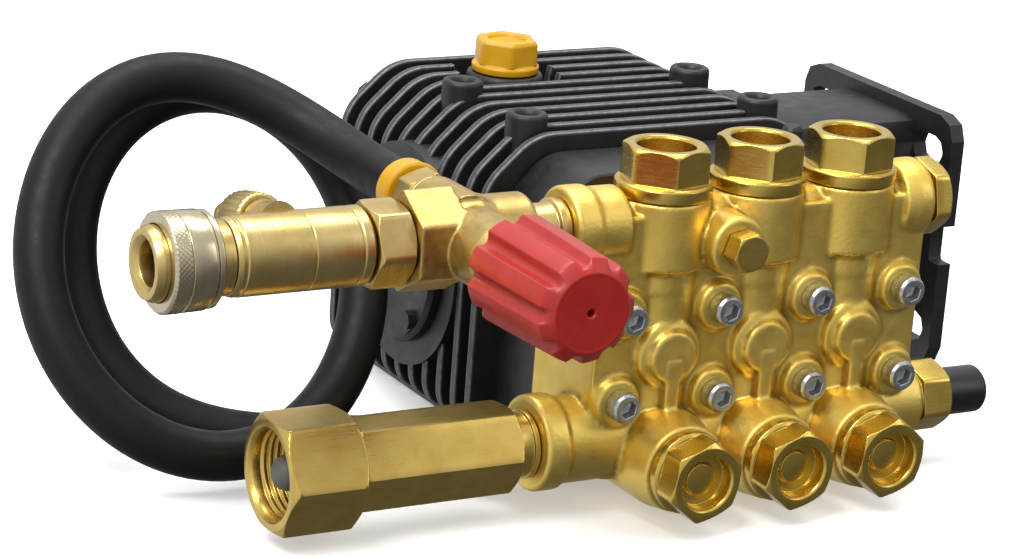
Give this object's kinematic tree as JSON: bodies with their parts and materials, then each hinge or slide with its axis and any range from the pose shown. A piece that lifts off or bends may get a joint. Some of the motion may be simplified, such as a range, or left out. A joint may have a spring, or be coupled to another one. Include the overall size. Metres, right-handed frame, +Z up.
{
  "type": "pressure washer pump",
  "caption": "Triplex plunger pump of a pressure washer: finned crankcase, brass manifold, unloader with red knob, quick coupler, garden-hose inlet, bypass hose.",
  "frame": {"origin": "on the crankcase's base plane, straight below the crankshaft axis, at the middle cylinder", "axes": "+X along the crankshaft towards the engine flange, -Y towards the manifold, +Z up"},
  "size_m": [0.3473, 0.2517, 0.1261],
  "materials": {
    "black_coat": "satin black powder coat",
    "brass": "machined and cast, semi bright",
    "zinc_steel": "zinc plated",
    "nickel": "nickel plated",
    "red_plastic": "moulded satin",
    "yellow_plastic": "moulded satin",
    "black_plastic": "moulded matt",
    "black_rubber": "matt",
    "white_ceramic": null,
    "clear_glass": "clear"
  },
  "bodies": {
    "pump": {"crankcase": "black_coat", "rear_cover": "black_coat", "engine_flange": "black_coat", "left_bearing_cover": "black_coat", "oil_drain_plug": "zinc_steel", "crank_bearing_left": "zinc_steel", "crank_bearing_right": "zinc_steel", "manifold_bolt_1": "zinc_steel", "manifold_bolt_2": "zinc_steel", "manifold_bolt_3": "zinc_steel", "manifold_bolt_4": "zinc_steel", "manifold_bolt_5": "zinc_steel", "manifold_bolt_6": "zinc_steel", "manifold_bolt_7": "zinc_steel", "manifold_bolt_8": "zinc_steel", "inlet_strainer": "zinc_steel", "oil_sight_glass": "clear_glass", "bypass_collar": "yellow_plastic", "plunger_packing_1": "black_rubber", "plunger_packing_2": "black_rubber", "plunger_packing_3": "black_rubber", "bypass_hose": "black_rubber", "manifold": "brass", "discharge_valve_cap_1": "brass", "discharge_valve_cap_2": "brass", "discharge_valve_cap_3": "brass", "suction_valve_cap_1": "brass", "suction_valve_cap_2": "brass", "suction_valve_cap_3": "brass", "gauge_port_plug": "brass", "gallery_plug": "brass", "thermal_relief_valve": "brass", "unloader_nipple": "brass", "unloader_body": "brass", "bypass_barb": "brass", "return_barb": "brass", "outlet_nut": "brass", "injector_body": "brass", "coupler_body": "brass", "inlet_tube": "brass", "relief_valve_cap": "black_plastic", "unloader_stem": "nickel"},
    "crankshaft": {"crankshaft": "zinc_steel"},
    "oil_cap": {"oil_fill_cap": "yellow_plastic"},
    "knob": {"unloader_knob": "red_plastic"},
    "sleeve": {"coupler_sleeve": "nickel"},
    "swivel_nut": {"inlet_swivel_nut": "brass"},
    "dial": {"injector_dial": "brass"},
    "plunger_set_1": {"plunger_1": "white_ceramic", "connecting_rod_1": "zinc_steel"},
    "discharge_valve_1_body": {"discharge_valve_1": "zinc_steel"},
    "suction_valve_1_body": {"suction_valve_1": "zinc_steel"},
    "plunger_set_2": {"plunger_2": "white_ceramic", "connecting_rod_2": "zinc_steel"},
    "discharge_valve_2_body": {"discharge_valve_2": "zinc_steel"},
    "suction_valve_2_body": {"suction_valve_2": "zinc_steel"},
    "plunger_set_3": {"plunger_3": "white_ceramic", "connecting_rod_3": "zinc_steel"},
    "discharge_valve_3_body": {"discharge_valve_3": "zinc_steel"},
    "suction_valve_3_body": {"suction_valve_3": "zinc_steel"}
  },
  "joints": [
    {"name": "crankshaft_spin", "type": "hinge", "parent": "pump", "child": "crankshaft", "pos_m": [0, 0, 0.052], "axis": [1, 0, 0], "continuous": true},
    {"name": "plunger_1_stroke", "type": "slide", "parent": "pump", "child": "plunger_set_1", "axis": [0, 1, 0], "range_m": [-0.0045, 0.0045]},
    {"name": "discharge_valve_1_lift", "type": "slide", "parent": "pump", "child": "discharge_valve_1_body", "axis": [0, 0, 1], "range_m": [0, 0.003], "stiffness_N_per_m": 150, "springref_m": -0.004},
    {"name": "suction_valve_1_lift", "type": "slide", "parent": "pump", "child": "suction_valve_1_body", "axis": [0, -1, 0], "range_m": [0, 0.0025], "stiffness_N_per_m": 150, "springref_m": -0.004},
    {"name": "plunger_2_stroke", "type": "slide", "parent": "pump", "child": "plunger_set_2", "axis": [0, 1, 0], "range_m": [-0.0045, 0.0045]},
    {"name": "discharge_valve_2_lift", "type": "slide", "parent": "pump", "child": "discharge_valve_2_body", "axis": [0, 0, 1], "range_m": [0, 0.003], "stiffness_N_per_m": 150, "springref_m": -0.004},
    {"name": "suction_valve_2_lift", "type": "slide", "parent": "pump", "child": "suction_valve_2_body", "axis": [0, -1, 0], "range_m": [0, 0.0025], "stiffness_N_per_m": 150, "springref_m": -0.004},
    {"name": "plunger_3_stroke", "type": "slide", "parent": "pump", "child": "plunger_set_3", "axis": [0, 1, 0], "range_m": [-0.0045, 0.0045]},
    {"name": "discharge_valve_3_lift", "type": "slide", "parent": "pump", "child": "discharge_valve_3_body", "axis": [0, 0, 1], "range_m": [0, 0.003], "stiffness_N_per_m": 150, "springref_m": -0.004},
    {"name": "suction_valve_3_lift", "type": "slide", "parent": "pump", "child": "suction_valve_3_body", "axis": [0, -1, 0], "range_m": [0, 0.0025], "stiffness_N_per_m": 150, "springref_m": -0.004},
    {"name": "unloader_knob_turn", "type": "hinge", "parent": "pump", "child": "knob", "pos_m": [-0.1063, -0.164, 0.093], "axis": [0, -1, 0], "range_deg": [-540, 540]},
    {"name": "coupler_sleeve_pull", "type": "slide", "parent": "pump", "child": "sleeve", "axis": [1, 0, 0], "range_m": [0, 0.0042], "stiffness_N_per_m": 400, "springref_m": -0.004},
    {"name": "inlet_nut_swivel", "type": "hinge", "parent": "pump", "child": "swivel_nut", "pos_m": [-0.154, -0.1083, 0.023], "axis": [-1, 0, 0], "continuous": true},
    {"name": "injector_dial_turn", "type": "hinge", "parent": "pump", "child": "dial", "pos_m": [-0.166, -0.0936, 0.0985], "axis": [0, 0.9752, -0.2212], "range_deg": [0, 270]},
    {"name": "oil_cap_turn", "type": "hinge", "parent": "pump", "child": "oil_cap", "pos_m": [-0.0145, 0.03, 0.107], "axis": [0, 0, 1], "range_deg": [0, 720]}
  ]
}
